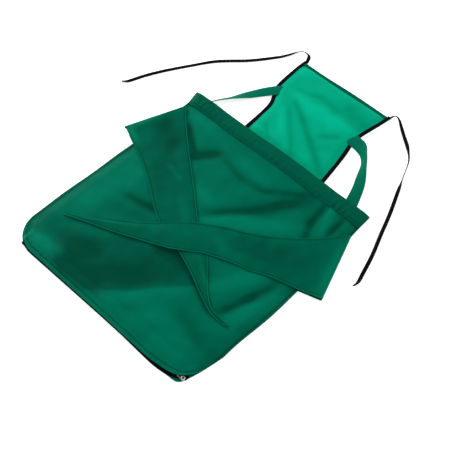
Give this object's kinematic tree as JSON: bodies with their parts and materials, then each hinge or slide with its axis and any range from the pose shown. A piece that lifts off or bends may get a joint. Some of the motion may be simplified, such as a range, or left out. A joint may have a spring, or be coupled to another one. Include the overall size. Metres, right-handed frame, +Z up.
{
  "type": "bib apron",
  "caption": "Thin coated cloth apron with a tie-on bib, side straps, folded waist ties and a full-width front pouch that is open at the top and closed by a zip along the bottom.",
  "frame": {"origin": "on the surface the apron lies on, under the middle of the pouch's width, 462 mm in from its bottom edge", "axes": "+Z up out of the pouch's front, +Y along the apron to the neck, +X along the mouth band to the wearer's left"},
  "size_m": [0.8757, 0.956, 0.0146],
  "materials": {
    "cloth": "satin coated",
    "bib_cloth": "satin coated, thin",
    "thread": "matte",
    "black_tape": "matte woven",
    "zip_coil": "matte",
    "zip_metal": "satin"
  },
  "bodies": {
    "pouch": {"back_panel": "cloth", "front_panel": "cloth", "mouth_band": "cloth", "band_stitching": "thread", "side_stitching": "thread", "bottom_hem": "cloth", "hem_stitching": "thread", "tie_root_left": "cloth", "tie_root_right": "cloth", "strap_tacks": "black_tape", "zip_tape_upper": "black_tape", "zip_tape_lower": "black_tape", "zip_coil_upper": "zip_coil", "zip_coil_lower": "zip_coil", "zip_end_stops": "zip_metal"},
    "bib": {"bib_panel": "bib_cloth", "bib_top_hem": "bib_cloth", "bib_hem_stitching": "thread", "bib_binding_left": "black_tape", "bib_binding_right": "black_tape", "side_strap_left": "cloth", "side_strap_right": "cloth", "neck_tie_left": "black_tape", "neck_tie_right": "black_tape"},
    "left_tie": {"waist_tie_left": "cloth"},
    "right_tie": {"waist_tie_right": "cloth"},
    "slider": {"zip_slider": "zip_metal"},
    "puller": {"zip_puller": "zip_metal"}
  },
  "joints": [
    {"name": "bib_fold", "type": "hinge", "parent": "pouch", "child": "bib", "pos_m": [0, 0.183, 0.013], "axis": [1, 0, 0], "range_deg": [0, 120]},
    {"name": "right_tie_unfold", "type": "hinge", "parent": "pouch", "child": "right_tie", "pos_m": [0.345, 0.005, 0.0073], "axis": [-0.3036, 0.9528, 0], "range_deg": [0, 150]},
    {"name": "left_tie_unfold", "type": "hinge", "parent": "pouch", "child": "left_tie", "pos_m": [-0.32, 0.042, 0.00625], "axis": [-0.2144, -0.9767, 0], "range_deg": [0, 75]},
    {"name": "zip_slide", "type": "slide", "parent": "pouch", "child": "slider", "axis": [-0.9998, -0.0221, 0], "range_m": [0, 0.5]},
    {"name": "puller_swing", "type": "hinge", "parent": "slider", "child": "puller", "pos_m": [0.27109, -0.4502, 0.0047], "axis": [0, 0, 1], "range_deg": [0, 130]}
  ],
  "couplings": [
    {"joint": "left_tie_unfold", "follows": "right_tie_unfold", "ratio": 0.5}
  ]
}
